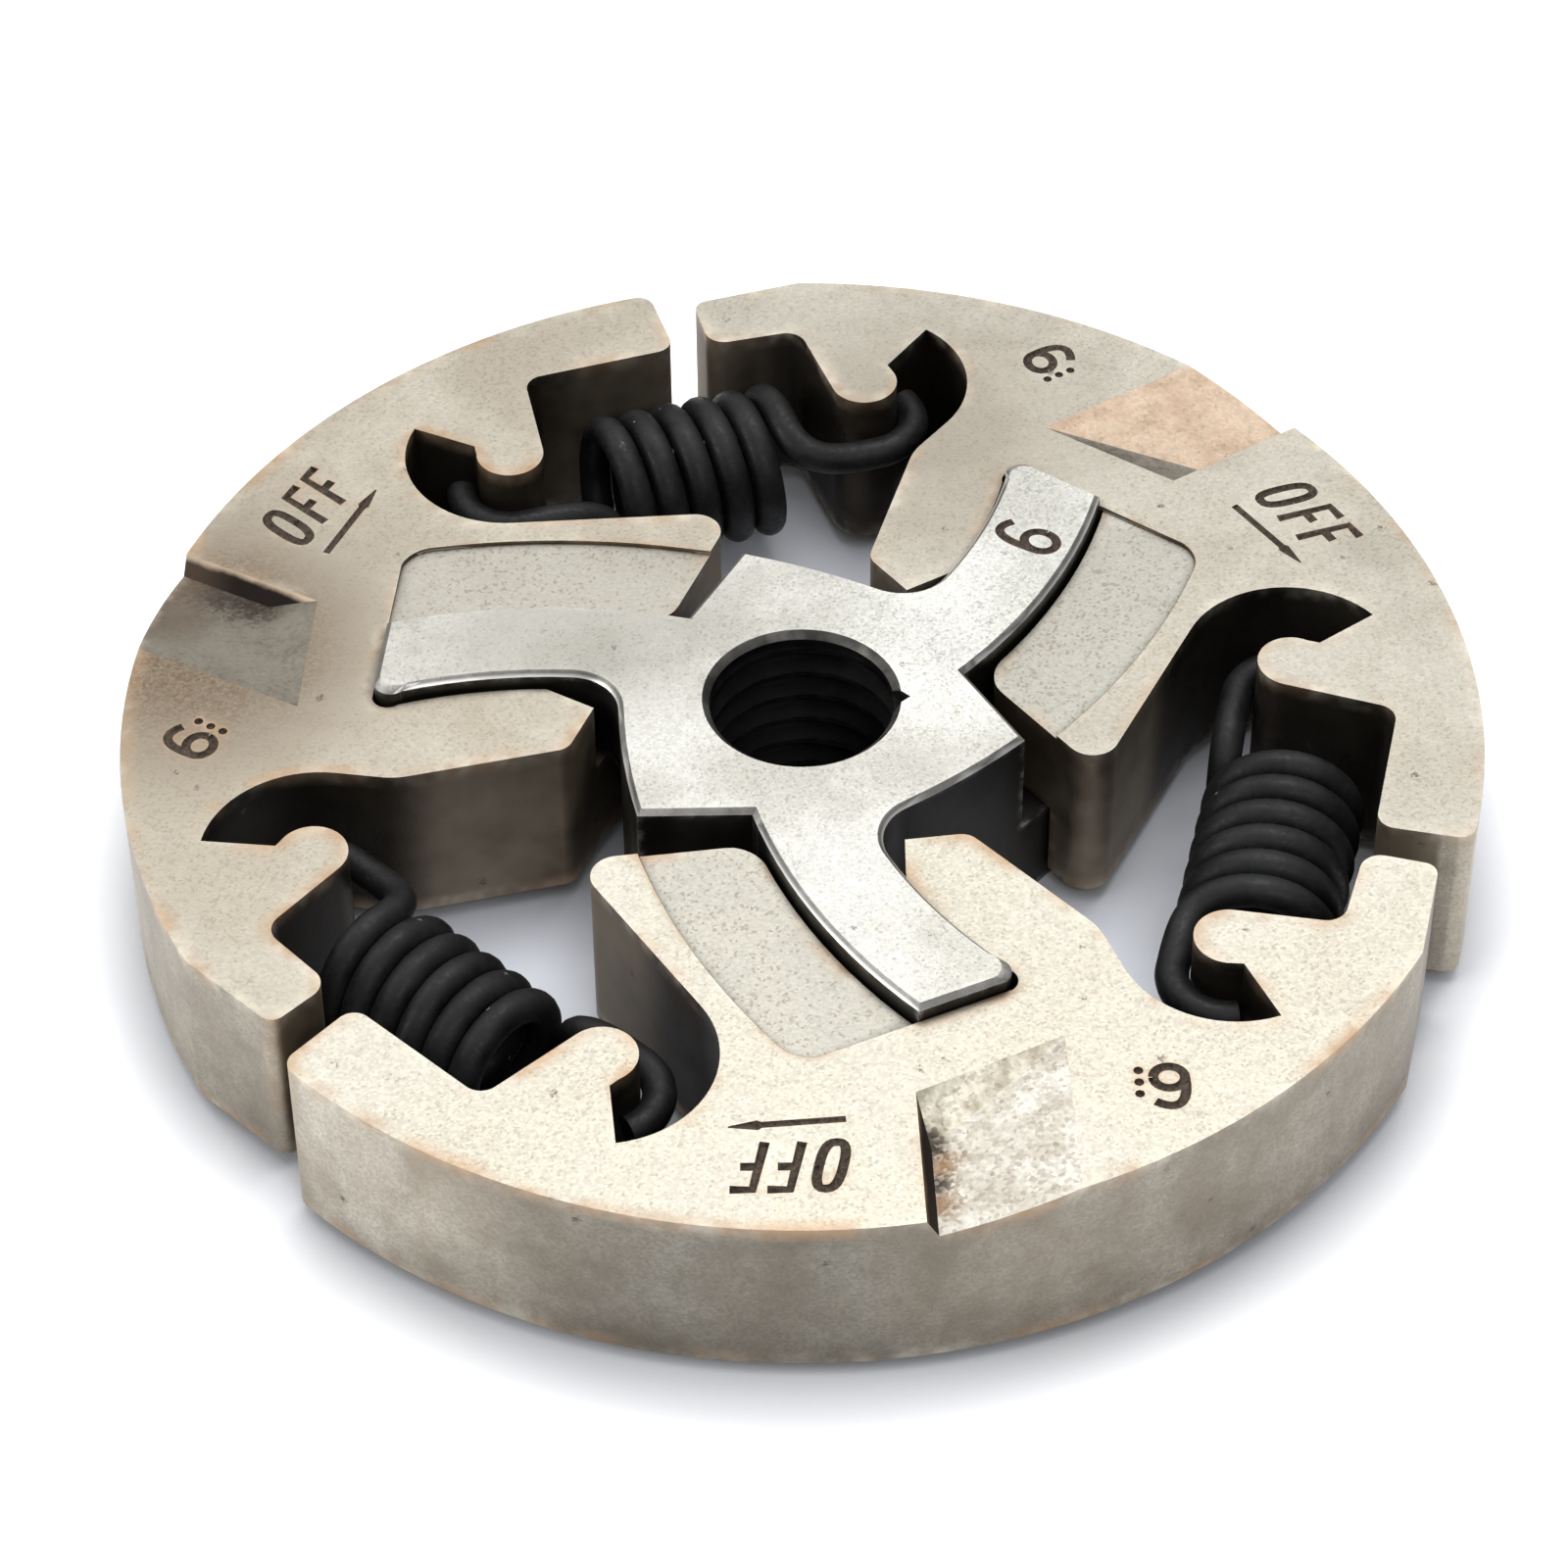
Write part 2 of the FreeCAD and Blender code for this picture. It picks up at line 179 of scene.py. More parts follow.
# %% Let the floor glow
shadow_reach = 6.0 * mm
full_glow, window_glow = 0.80, 0.44
circle_from, circle_to = 35.5 * mm, 37.5 * mm
white, tree, shader = start_material("white_sweep", 0.0, 0.8, shine=0.1)
feed(tree, (0.57, 0.585, 0.625), shader.inputs["Base Color"])
rays = add(tree, "ShaderNodeLightPath").outputs
seen = math_node(tree, "MAXIMUM", rays["Is Camera Ray"], rays["Is Glossy Ray"])
seen = math_node(tree, "MAXIMUM", seen, rays["Is Transmission Ray"])
# painted shadow: ambient occlusion takes the glow away near the part
near_part = add(tree, "ShaderNodeAmbientOcclusion", {"Distance": shadow_reach}, samples=2)
glow = span(tree, near_part.outputs["AO"], 0.50, 0.73, 0.0, full_glow)
from_axis = add(tree, "ShaderNodeVectorMath", operation="LENGTH")
join(tree, add(tree, "ShaderNodeTexCoord").outputs["Object"], from_axis.inputs[0])
outside = span(tree, from_axis.outputs["Value"], circle_from, circle_to)
# painted shade: inside the rim's circle the glow is weaker and bluish
glow = math_node(tree, "MULTIPLY", glow, span(tree, outside, 0.0, 1.0, window_glow, 1.0))
glow_colour = blend_colour(tree, outside, (0.86, 0.90, 1.0), (1.0, 1.0, 1.0))
join(tree, glow_colour, shader.inputs["Emission Color"])
join(tree, math_node(tree, "MULTIPLY", seen, glow), shader.inputs["Emission Strength"])
floor_mesh.materials.append(white)
print(white.name, len(tree.nodes), "nodes")


# %% [markdown]
# ## The lights
# Flat tops mirror what hangs behind and above them, so the main panel hangs there, high enough that
# the near shoe catches more of it than the far side. A weak one at the back left fills the left
# shoe. One stands over the camera and brightens the chamfers that face it, and one at the left
# lights the rim there. The room is bright overhead and dark at the front, which keeps the shadow
# at the rim's foot.


# %% Hang the lights
def panel(name, place_at, size, watts, colour):
    """A rectangular lamp that faces the middle of the part."""
    light = bpy.data.lights.new(name, "AREA")
    light.shape = "RECTANGLE"
    light.size, light.size_y = size
    light.energy = watts
    light.color = colour
    lamp = bpy.data.objects.new(name, light)
    scene.collection.objects.link(lamp)
    lamp.location = place_at
    lamp.rotation_euler = (-Vector(place_at)).to_track_quat("-Z", "Y").to_euler()


panel("panel_above", (0.06, 0.17, 0.46), (0.32, 0.20), 0.9, (1.0, 0.99, 0.965))
panel("panel_back_left", (-0.28, 0.22, 0.36), (0.20, 0.20), 0.22, (1.0, 0.99, 0.97))
panel("panel_front", (0.14, -0.39, 0.41), (0.26, 0.12), 0.48, (0.98, 0.985, 1.0))
panel("panel_left", (-0.46, -0.10, 0.17), (0.20, 0.20), 0.9, (1.0, 0.99, 0.97))

# %% Light the room
room_up = (0.0, 0.25, 0.97)
dark_side, bright_side = (0.12, 0.12, 0.125), (1.0, 1.0, 1.0)
world = bpy.data.worlds.new("pale_room")
world.use_nodes = True
tree = world.node_tree
toward = add(tree, "ShaderNodeVectorMath", {1: room_up}, operation="DOT_PRODUCT")
join(tree, add(tree, "ShaderNodeTexCoord").outputs["Generated"], toward.inputs[0])
overhead = span(tree, toward.outputs["Value"], 0.15, 1.0)
background = tree.nodes["Background"]
join(tree, blend_colour(tree, overhead, dark_side, bright_side), background.inputs["Color"])
background.inputs["Strength"].default_value = 1.0
scene.world = world
print("room:", world.name, len(tree.nodes), "nodes")


# %% [markdown]
# ## Shared effects
# Sintered steel is pressed powder: a fine salt-and-pepper grain, dark specks in loose clouds, and a
# few small pores. These show on shoes, hub and wire alike. They could be drawn in each material
# again, but a node group is built once and then placed with its own values. It puts out plain
# masks, and each material says what colour they carry. The grain is noise of several sizes.


# %% Begin, end and place a group
def start_group(name, inputs):
    """A new shader node group with named number inputs."""
    group = bpy.data.node_groups.new(name, "ShaderNodeTree")
    for label, default in inputs.items():
        socket = group.interface.new_socket(label, in_out="INPUT", socket_type="NodeSocketFloat")
        socket.default_value = default
    return group, add(group, "NodeGroupInput").outputs


def end_group(group, masks):
    """Give the group one output for each of its masks."""
    for label in masks:
        group.interface.new_socket(label, in_out="OUTPUT", socket_type="NodeSocketFloat")
    group_end = add(group, "NodeGroupOutput")
    for label, mask in masks.items():
        join(group, mask, group_end.inputs[label])
    print("group", group.name, [item.name for item in group.interface.items_tree])
    return group


def place(tree, group, **values):
    """Put a group into a material, with its own values."""
    node = add(tree, "ShaderNodeGroup")
    node.node_tree = group
    for label, value in values.items():
        node.inputs[label.replace("_", " ").title()].default_value = value
    return node.outputs


# %% Group: sintered grain
tree, given = start_group("sintered_grain", {"Grain": 6200.0, "Cloud": 120.0, "Pores": 800.0})
where = add(tree, "ShaderNodeTexCoord").outputs["Object"]
rough = add(tree, "ShaderNodeTexNoise", {"Detail": 1.0, "Roughness": 0.6})
cloud = add(tree, "ShaderNodeTexNoise", {"Detail": 3.0, "Roughness": 0.66})
powder = add(tree, "ShaderNodeTexVoronoi")
cell = add(tree, "ShaderNodeTexVoronoi")
for texture, label in ((rough, "Grain"), (cloud, "Cloud"), (powder, "Grain"), (cell, "Pores")):
    join(tree, given[label], texture.inputs["Scale"])
for texture in (rough, cloud, powder):
    join(tree, where, texture.inputs["Vector"])
# The pores lie at bent places, so that they don't come out as neat round cells.
sway = 0.8 * mm
bent = add(tree, "ShaderNodeVectorMath", {1: (sway, sway, sway)}, operation="MULTIPLY_ADD")
join(tree, rough.outputs["Color"], bent.inputs[0])
join(tree, where, bent.inputs[2])
join(tree, bent.outputs[0], cell.inputs["Vector"])
tone = add(tree, "ShaderNodeSeparateColor")
join(tree, powder.outputs["Color"], tone.inputs[0])
lot = add(tree, "ShaderNodeSeparateColor")
join(tree, cell.outputs["Color"], lot.inputs[0])
few = span(tree, lot.outputs[0], 0.965, 0.975)
pit = span(tree, cell.outputs["Distance"], 0.08, 0.24, 1.0, 0.0)
patches = span(tree, cloud.outputs[0], 0.34, 0.66)
clustered = math_node(tree, "ADD", tone.outputs[1], math_node(tree, "MULTIPLY", patches, -0.16))
grain_group = end_group(tree, {
    "Fine": tone.outputs[0], "Specks": span(tree, clustered, 0.70, 0.90), "Patches": patches,
    "Pores": math_node(tree, "MULTIPLY", pit, few), "Height": rough.outputs[0]})

# %% [markdown]
# ## Rubbed edges and shaded corners
# The steel is tumbled, so its edges are rubbed bright with a brown tint beside them, and its
# corners get painted shade. Edges could be marked in the mesh. Ambient occlusion nodes need no
# special mesh and work on any edge: one looks into the metal and finds edges, one looks out and
# finds corners.
# and work on any edge: one looks into the metal and finds edges, one looks out and finds corners.

# %% Group: rubbed edges and painted shade in corners
tree, given = start_group(
    "edges_and_corners", {"Reach": 0.6 * mm, "Corner Reach": 0.7 * mm, "Break Up": 900.0})
inward = add(tree, "ShaderNodeAmbientOcclusion", inside=True, only_local=True, samples=2)
join(tree, given["Reach"], inward.inputs["Distance"])
outward = add(tree, "ShaderNodeAmbientOcclusion", samples=2)
join(tree, given["Corner Reach"], outward.inputs["Distance"])
uneven = add(tree, "ShaderNodeTexNoise", {"Detail": 1.0})
join(tree, given["Break Up"], uneven.inputs["Scale"])
stains = add(tree, "ShaderNodeTexNoise", {"Scale": 170.0, "Detail": 2.0, "Roughness": 0.65})
where = add(tree, "ShaderNodeTexCoord").outputs["Object"]
for noise in (uneven, stains):
    join(tree, where, noise.inputs["Vector"])
shake = math_node(tree, "MULTIPLY", math_node(tree, "SUBTRACT", uneven.outputs[0], 0.5), 0.35)
closed = math_node(tree, "ADD", math_node(tree, "SUBTRACT", 1.0, inward.outputs["AO"]), shake)
beside = span(tree, closed, 0.1, 0.5)
blotchy = span(tree, stains.outputs[0], 0.42, 0.62)
# Corner is painted shade: it darkens where the surface looks out into a corner.
edge_group = end_group(tree, {
    "Line": span(tree, closed, 0.44, 0.62), "Halo": math_node(tree, "MULTIPLY", beside, blotchy),
    "Corner": span(tree, outward.outputs["AO"], 0.45, 0.96, 1.0, 0.0)})

# %% [markdown]
# ## Where a spot lies on the part
# The same steel looks different on a rubbed top, on a wall and on the rim. Each face could get a
# material of its own, but the place and the normal of a spot already tell them apart. Rubbed faces
# are the level ones near the top and the underside. Low is below the top's own level, as in the
# shallow field. Lip is the foot of a chamfer, where it turns into the wall; the hub paints a
# highlight there. Radius is the distance from the thread's axis, and Streaks run up and down the
# rim.

# %% Group: place on the part
hub_low, hub_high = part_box("hub")
middle = (hub_low.z + hub_high.z) / 2
shoe_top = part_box("shoe_1")[1].z
tree = start_group("place_on_part", {})[0]
coordinates = add(tree, "ShaderNodeTexCoord").outputs
normal = add(tree, "ShaderNodeSeparateXYZ")
join(tree, coordinates["Normal"], normal.inputs[0])
spot = add(tree, "ShaderNodeSeparateXYZ")
join(tree, coordinates["Object"], spot.inputs[0])
upright = math_node(tree, "ABSOLUTE", normal.outputs["Z"])
level = span(tree, upright, 0.60, 0.95)
leaving_wall = span(tree, upright, 0.12, 0.30)
reaching_top = span(tree, upright, 0.62, 0.74, 1.0, 0.0)
off_middle = math_node(tree, "ABSOLUTE", math_node(tree, "SUBTRACT", spot.outputs["Z"], middle))
outer_half = span(tree, off_middle, 3.0 * mm, 3.4 * mm)
top_reach = shoe_top - middle
sunk = span(tree, off_middle, top_reach - 0.2 * mm, top_reach - 0.1 * mm, 1.0, 0.0)
# A spot with most of its height taken away: noise drawn there comes out as upright streaks.
pressed_flat = add(tree, "ShaderNodeCombineXYZ")
join(tree, spot.outputs["X"], pressed_flat.inputs["X"])
join(tree, spot.outputs["Y"], pressed_flat.inputs["Y"])
join(tree, math_node(tree, "MULTIPLY", spot.outputs["Z"], 0.12), pressed_flat.inputs["Z"])
radius = add(tree, "ShaderNodeVectorMath", operation="LENGTH")
join(tree, pressed_flat.outputs[0], radius.inputs[0])
streak = add(tree, "ShaderNodeTexNoise", {"Scale": 750.0, "Detail": 2.0, "Roughness": 0.7})
join(tree, pressed_flat.outputs[0], streak.inputs["Vector"])
place_group = end_group(tree, {
    "Rubbed": math_node(tree, "MULTIPLY", level, outer_half),
    "Lip": math_node(tree, "MULTIPLY", leaving_wall, reaching_top), "Low": sunk,
    "Radius": radius.outputs["Value"], "Streaks": span(tree, streak.outputs[0], 0.3, 0.7)})

# %% [markdown]
# ## Stained areas
# Heat, oil and wear leave areas that are browner, blacker or cleaner than the rest. They could be
# painted on, but a painting has to be unwrapped and stored. Here an area is a spot of the plan with
# a soft border, and every material that has stains places this group with its own values.

# %% Group: soft area
tree, given = start_group(
    "soft_area", {"X": 0.0, "Y": 0.0, "Inner": 3.0 * mm, "Reach": 12.0 * mm, "Most": 1.0})
plan = add(tree, "ShaderNodeVectorMath", {1: (1.0, 1.0, 0.0)}, operation="MULTIPLY")
join(tree, add(tree, "ShaderNodeTexCoord").outputs["Object"], plan.inputs[0])
centre = add(tree, "ShaderNodeCombineXYZ")
join(tree, given["X"], centre.inputs["X"])
join(tree, given["Y"], centre.inputs["Y"])
away = add(tree, "ShaderNodeVectorMath", operation="DISTANCE")
join(tree, plan.outputs[0], away.inputs[0])
join(tree, centre.outputs[0], away.inputs[1])
area_group = end_group(tree, {
    "Mask": span(tree, away.outputs["Value"], given["Inner"], given["Reach"], given["Most"], 0.0)})


def stain_mask(tree, at, inner, reach, most):
    """A soft round area in the plan: most of it within inner, none at its reach."""
    return place(tree, area_group, x=at[0], y=at[1], inner=inner, reach=reach, most=most)["Mask"]


# %% [markdown]
# ## The shoes' steel
# The shoes are sintered and tumbled: warm pale grey on their flats, thin bright edges, a brown tint
# beside them, and darker walls that were never rubbed, darkened further as painted shade. Their
# round outside runs against the drum, so it is smoother, browner and finely streaked. Three
# materials per shoe would show seams, so each shoe has one Principled shader, and the masks above
# choose between flat, wall and rim.

# %% Shoe steel
micron = 0.001 * mm
third = 2 * math.pi / 3
nose_b, nose_a = Vector((22.44, -17.49, 0)), Vector((-10.54, -25.54, 0))


def on_shoe(turn, x, y):
    """A spot of the first shoe's plan, in mm, as a spot in m on the shoe that many thirds on."""
    return Matrix.Rotation(third * turn, 2) @ Vector((x, y)) * mm


def bump(tree, shader, height, depth):
    """Let a mask stand out from the surface by that depth."""
    node = add(tree, "ShaderNodeBump", {"Strength": 1.0, "Distance": depth})
    join(tree, height, node.inputs["Height"])
    join(tree, node.outputs["Normal"], shader.inputs["Normal"])


def shoe_flat(tree, grain, on, pale, deep, stain_at, stain):
    """The rubbed top: two tones, a brown area, partly stain and partly painted shade, a greyer
    shallow field, grain and specks.
    """
    flat = blend_colour(tree, grain["Patches"], deep, pale)
    # the brown area: partly a stain, partly painted shade
    stained = stain_mask(tree, stain_at, 3.0 * mm, 15.8 * mm, stain)
    flat = blend_colour(tree, stained, flat, (0.16, 0.105, 0.06))
    flat = lay_over(tree, on["Low"], 0.6, flat, (0.47, 0.47, 0.435))
    flat = lay_over(tree, grain["Fine"], 0.42, flat, (0.36, 0.335, 0.275))
    speckled = span(tree, on["Low"], 0.0, 1.0, 0.38, 0.62)
    return lay_over(tree, grain["Specks"], speckled, flat, (0.27, 0.24, 0.185))


def shoe_wall(tree, grain, turn, shade_a, shade_b):
    """The raw wall, with painted shade that blackens the cavities around the two noses."""
    # wall tones: unrubbed steel, made darker as painted shade
    wall = blend_colour(tree, grain["Patches"], (0.125, 0.094, 0.063), (0.275, 0.23, 0.172))
    for nose, blackening in ((nose_a, shade_a), (nose_b, shade_b)):
        # painted shade: the cavities around the noses turn near black
        cavity_shade = stain_mask(tree, on_shoe(turn, nose.x, nose.y), 6.5 * mm, 9.0 * mm, blackening)
        wall = blend_colour(tree, cavity_shade, wall, (0.010, 0.008, 0.006))
    return wall


def shoe_rim(tree, grain, on, turn):
    """The round outside: streaked, with painted shade at its middle and painted light near one end.
    """
    rim = blend_colour(tree, grain["Patches"], (0.25, 0.217, 0.168), (0.48, 0.445, 0.375))
    rim = lay_over(tree, on["Streaks"], 0.3, rim, (0.31, 0.255, 0.185))
    rim = lay_over(tree, grain["Fine"], 0.4, rim, (0.17, 0.14, 0.105))
    # painted shade: the rim darker at its middle
    rim_shade = stain_mask(tree, on_shoe(turn, -4.0, -37.5), 4.0 * mm, 16.0 * mm, 1.0)
    rim = blend_colour(tree, rim_shade, rim, (0.68, 0.69, 0.69), "MULTIPLY")
    # painted light: the rim brighter near this end
    clean = stain_mask(tree, on_shoe(turn, -23.0, -29.5), 3.0 * mm, 12.0 * mm, 1.0)
    return blend_colour(tree, clean, rim, (1.36, 1.38, 1.4), "MULTIPLY")


def shoe_finish(name, turn, pale, deep, stain_at, stain, shade_a, shade_b, rusty):
    """Sintered shoe: pale and deep are its two tones, stain_at and stain a darker brown area that
    is partly a stain and partly painted shade, shade_a and shade_b how much painted shade blackens
    its cavities around the two noses, rusty how brown its edges."""
    material, tree, shader = start_material(name, 0.75, 0.5)
    grain = place(tree, grain_group)
    edge = place(tree, edge_group, reach=1.1 * mm)
    on = place(tree, place_group)
    flat = shoe_flat(tree, grain, on, pale, deep, stain_at, stain)
    wall = shoe_wall(tree, grain, turn, shade_a, shade_b)
    outside = span(tree, on["Radius"], 35.5 * mm, 36.0 * mm)
    wall = blend_colour(tree, outside, wall, shoe_rim(tree, grain, on, turn))
    colour = blend_colour(tree, on["Rubbed"], wall, flat)
    colour = lay_over(tree, edge["Halo"], rusty, colour, (0.45, 0.28, 0.155))
    bare = span(tree, grain["Patches"], 0.0, 1.0, 0.25, 0.75)
    colour = lay_over(tree, edge["Line"], bare, colour, (0.80, 0.74, 0.62))
    colour = lay_over(tree, grain["Pores"], 0.8, colour, (0.10, 0.08, 0.06))
    # painted shade: corners darkened to near black
    colour = lay_over(tree, edge["Corner"], 0.8, colour, (0.035, 0.028, 0.022))
    join(tree, colour, shader.inputs["Base Color"])
    join(tree, span(tree, grain["Patches"], 0.0, 1.0, 0.44, 0.56), shader.inputs["Roughness"])
    bump(tree, shader, grain["Height"], 10 * micron)
    print(name, len(tree.nodes), "nodes")
    return material


# %% One steel for each shoe
# The shoes' tones differ partly as painted light and shade: the near shoe paler where light falls
# on it, the left shoe darker and browner.
shoe_steels = [
    shoe_finish("shoe_steel_cream", 0, pale=(0.735, 0.71, 0.63), deep=(0.63, 0.595, 0.50),
                stain_at=(0.0, -0.04), stain=0.0, shade_a=0.9, shade_b=0.85, rusty=0.95),
    shoe_finish("shoe_steel_rose", 1, pale=(0.60, 0.572, 0.505), deep=(0.495, 0.463, 0.395),
                stain_at=(0.006, 0.024), stain=0.35, shade_a=0.9, shade_b=0.9, rusty=0.45),
    shoe_finish("shoe_steel_brown", 2, pale=(0.58, 0.54, 0.463), deep=(0.465, 0.415, 0.335),
                stain_at=(-0.034, 0.006), stain=0.97, shade_a=0.85, shade_b=0.85, rusty=0.85),
]

# %% [markdown]
# ## The hub's steel
# The hub is a cleaner silver than the shoes, with almost black walls, dark steel with painted shade
# on it, and a painted highlight where each chamfer meets the wall. It could share the shoes'
# material with other values, but it has no rim and no painted shade around the noses, so a shorter
# tree of its own is easier to read.

# %% Hub steel
# greyed is a duller area; the highlit areas are painted highlights where the lamps catch the flat
# top
greyed, highlit = (0.36, 0.345, 0.295), (0.88, 0.88, 0.84)
hub_stains_and_highlights = [(-13.0, 7.0, 13.0, 0.68, greyed), (9.0, 4.0, 11.0, 0.75, highlit),
              (12.6, 15.4, 9.0, 0.35, highlit)]
hub_steel, tree, shader = start_material("hub_steel", 0.8, 0.42)
grain = place(tree, grain_group, grain=6800.0, cloud=110.0, pores=1000.0)
edge = place(tree, edge_group, reach=0.5 * mm)
on = place(tree, place_group)
flat = blend_colour(tree, grain["Patches"], (0.57, 0.555, 0.50), (0.735, 0.73, 0.695))
for x, y, reach, most, stain_colour in hub_stains_and_highlights:
    stained = stain_mask(tree, (x * mm, y * mm), 3.0 * mm, reach * mm, most)
    flat = blend_colour(tree, stained, flat, stain_colour)
flat = lay_over(tree, grain["Fine"], 0.46, flat, (0.38, 0.375, 0.35))
flat = lay_over(tree, grain["Specks"], 0.42, flat, (0.26, 0.255, 0.23))
# almost black walls: dark steel with painted shade
wall = blend_colour(tree, grain["Patches"], (0.022, 0.020, 0.018), (0.06, 0.056, 0.05))
colour = blend_colour(tree, on["Rubbed"], wall, flat)
bare = math_node(tree, "MULTIPLY", edge["Line"], span(tree, grain["Fine"], 0.1, 0.5, 0.35, 1.0))
# bright: the bare edge line, with the painted highlight at each chamfer's foot
bright = math_node(tree, "MAXIMUM", bare, on["Lip"])
colour = blend_colour(tree, bright, colour, (0.92, 0.91, 0.88))
colour = lay_over(tree, grain["Pores"], 0.7, colour, (0.12, 0.11, 0.10))
# painted shade: corners darkened to near black
colour = lay_over(tree, edge["Corner"], 0.7, colour, (0.03, 0.027, 0.022))
join(tree, colour, shader.inputs["Base Color"])
join(tree, span(tree, grain["Patches"], 0.0, 1.0, 0.34, 0.48), shader.inputs["Roughness"])
bump(tree, shader, grain["Height"], 8 * micron)
print(hub_steel.name, len(tree.nodes), "nodes")


# %% [markdown]
# ## The tool step's floor and bank
# Each shoe has a step at its rim where a tool can push. Its floor and bank were never rubbed, so
# they keep their rough pressed skin, cream, copper or grey, with rust, and near black at the foot
# of the step. The banks' darker tones are painted shade. Soft areas alone look like ink drops, so
# the grain is added to each area before its border is drawn.


# %% Skin of the floor and the bank
def ramp_finish(name, turn, pale, deep, stains):
    """Rough pressed skin. Each stain is (x and y on the first shoe, reach, strength, colour)."""
    material, tree, shader = start_material(name, 0.4, 0.6)
    grain = place(tree, grain_group, grain=4600.0, cloud=420.0, pores=600.0)
    edge = place(tree, edge_group, reach=0.6 * mm)
    colour = blend_colour(tree, grain["Patches"], deep, pale)
    colour = lay_over(tree, grain["Fine"], 0.4, colour, (0.36, 0.32, 0.25))
    colour = lay_over(tree, grain["Specks"], 0.28, colour, (0.22, 0.18, 0.13))
    broken = math_node(tree, "MULTIPLY", grain["Fine"], 0.5)
    for x, y, reach, strength, stain_colour in stains:
        area = stain_mask(tree, on_shoe(turn, x, y), 0.2 * mm, reach * mm, 1.0)
        speckled = span(tree, math_node(tree, "ADD", area, broken), 0.30, 1.45, 0.0, strength)
        colour = blend_colour(tree, speckled, colour, stain_colour)
    colour = lay_over(tree, edge["Line"], 0.5, colour, (0.75, 0.66, 0.52))
    join(tree, colour, shader.inputs["Base Color"])
    bump(tree, shader, grain["Height"], 30 * micron)
    print(name, len(tree.nodes), "nodes")
    return material


# blackening: near black at the step's foot
rust, blackening, tan = (0.30, 0.155, 0.06), (0.035, 0.022, 0.014), (0.12, 0.078, 0.05)
near_stains = [(6.5, -32.2, 2.2, 0.85, rust), (6.7, -34.8, 1.8, 0.8, rust),
               (6.3, -31.0, 1.6, 1.0, blackening), (6.6, -33.6, 1.1, 0.9, blackening)]
left_stains = [(10.0, -35.3, 5.0, 0.6, tan), (6.6, -32.0, 3.8, 1.0, blackening),
               (6.8, -34.2, 3.2, 0.85, blackening), (7.2, -36.5, 3.0, 0.7, tan)]
ramp_skins = [
    ramp_finish("ramp_skin_cream", 0, (0.86, 0.84, 0.77), (0.62, 0.58, 0.50), near_stains),
    ramp_finish("ramp_skin_copper", 1, (0.70, 0.54, 0.41), (0.56, 0.395, 0.275), []),
    ramp_finish("ramp_skin_grey", 2, (0.19, 0.178, 0.147), (0.132, 0.117, 0.092), left_stains),
]
# bank skins: darker than the floors, painted shade on the banks
bank_skins = [
    ramp_finish("bank_skin_cream", 0, (0.88, 0.84, 0.71), (0.47, 0.43, 0.335), near_stains),
    ramp_finish("bank_skin_grey", 1, (0.20, 0.185, 0.16), (0.09, 0.08, 0.065), []),
    ramp_skins[2],
]


# %% [markdown]
# ## The tool step's wall
# The leaning wall of the step is lighter at its brink, rubbed and with painted light, and darker
# toward its foot as painted shade, and it is near black at its inner end. The height of a spot
# gives that blend, and the grain's patches make its border uneven.


# %% Wall of the step
def step_finish(name, turn, brink, foot):
    """The step's wall: brink and foot are its tones at the top and below."""
    material, tree, shader = start_material(name, 0.2, 0.7, shine=0.15)
    grain = place(tree, grain_group, cloud=300.0)
    inner_end = stain_mask(tree, on_shoe(turn, 6.1, -31.6), 1.6 * mm, 5.0 * mm, 1.0)
    foot_tone = blend_colour(tree, inner_end, foot, (0.012, 0.008, 0.006))
    spot = add(tree, "ShaderNodeSeparateXYZ")
    join(tree, add(tree, "ShaderNodeTexCoord").outputs["Object"], spot.inputs[0])
    ragged = math_node(tree, "MULTIPLY", grain["Patches"], 0.2 * mm)
    height = math_node(tree, "SUBTRACT", spot.outputs["Z"], ragged)
    # lighter at the brink: rubbed, with painted light; darker below: painted shade
    rubbed = span(tree, height, shoe_top - 0.55 * mm, shoe_top - 0.10 * mm)
    join(tree, blend_colour(tree, rubbed, foot_tone, brink), shader.inputs["Base Color"])
    bump(tree, shader, grain["Height"], 20 * micron)
    print(name, len(tree.nodes), "nodes")
    return material


# the near shoe's wall is much darker: painted shade, as it faces away
step_walls = [
    step_finish("step_wall_dark", 0, (0.10, 0.062, 0.036), (0.022, 0.014, 0.009)),
    step_finish("step_wall_rose", 1, (0.50, 0.42, 0.32), (0.15, 0.11, 0.08)),
    step_finish("step_wall_brown", 2, (0.60, 0.48, 0.35), (0.07, 0.048, 0.033)),
]


# %% [markdown]
# ## Marks, thread and spring wire
# The stamped marks' grooves are dark brown. The thread is nearly black, its own dark finish with
# painted shade of the deep bore, and hardly shines, and its mouth is a little brighter. These three
# need no more than two tones of the grain, so one helper makes them.
# The springs are blued wire: nearly black, a little glossy, with a few pale pits.


# %% Finishes of two tones
def two_tone(name, metallic, roughness, shine, mask, tones, depth, **grain_values):
    """Two tones that follow one mask of the grain."""
    material, tree, shader = start_material(name, metallic, roughness, shine)
    grain = place(tree, grain_group, **grain_values)
    join(tree, blend_colour(tree, grain[mask], *tones), shader.inputs["Base Color"])
    bump(tree, shader, grain["Height"], depth)
    print(name, len(tree.nodes), "nodes")
    return material


mark_groove = two_tone("mark_groove", 0.2, 0.7, 0.5, "Fine",
                     [(0.035, 0.024, 0.017), (0.11, 0.08, 0.055)], 20 * micron)
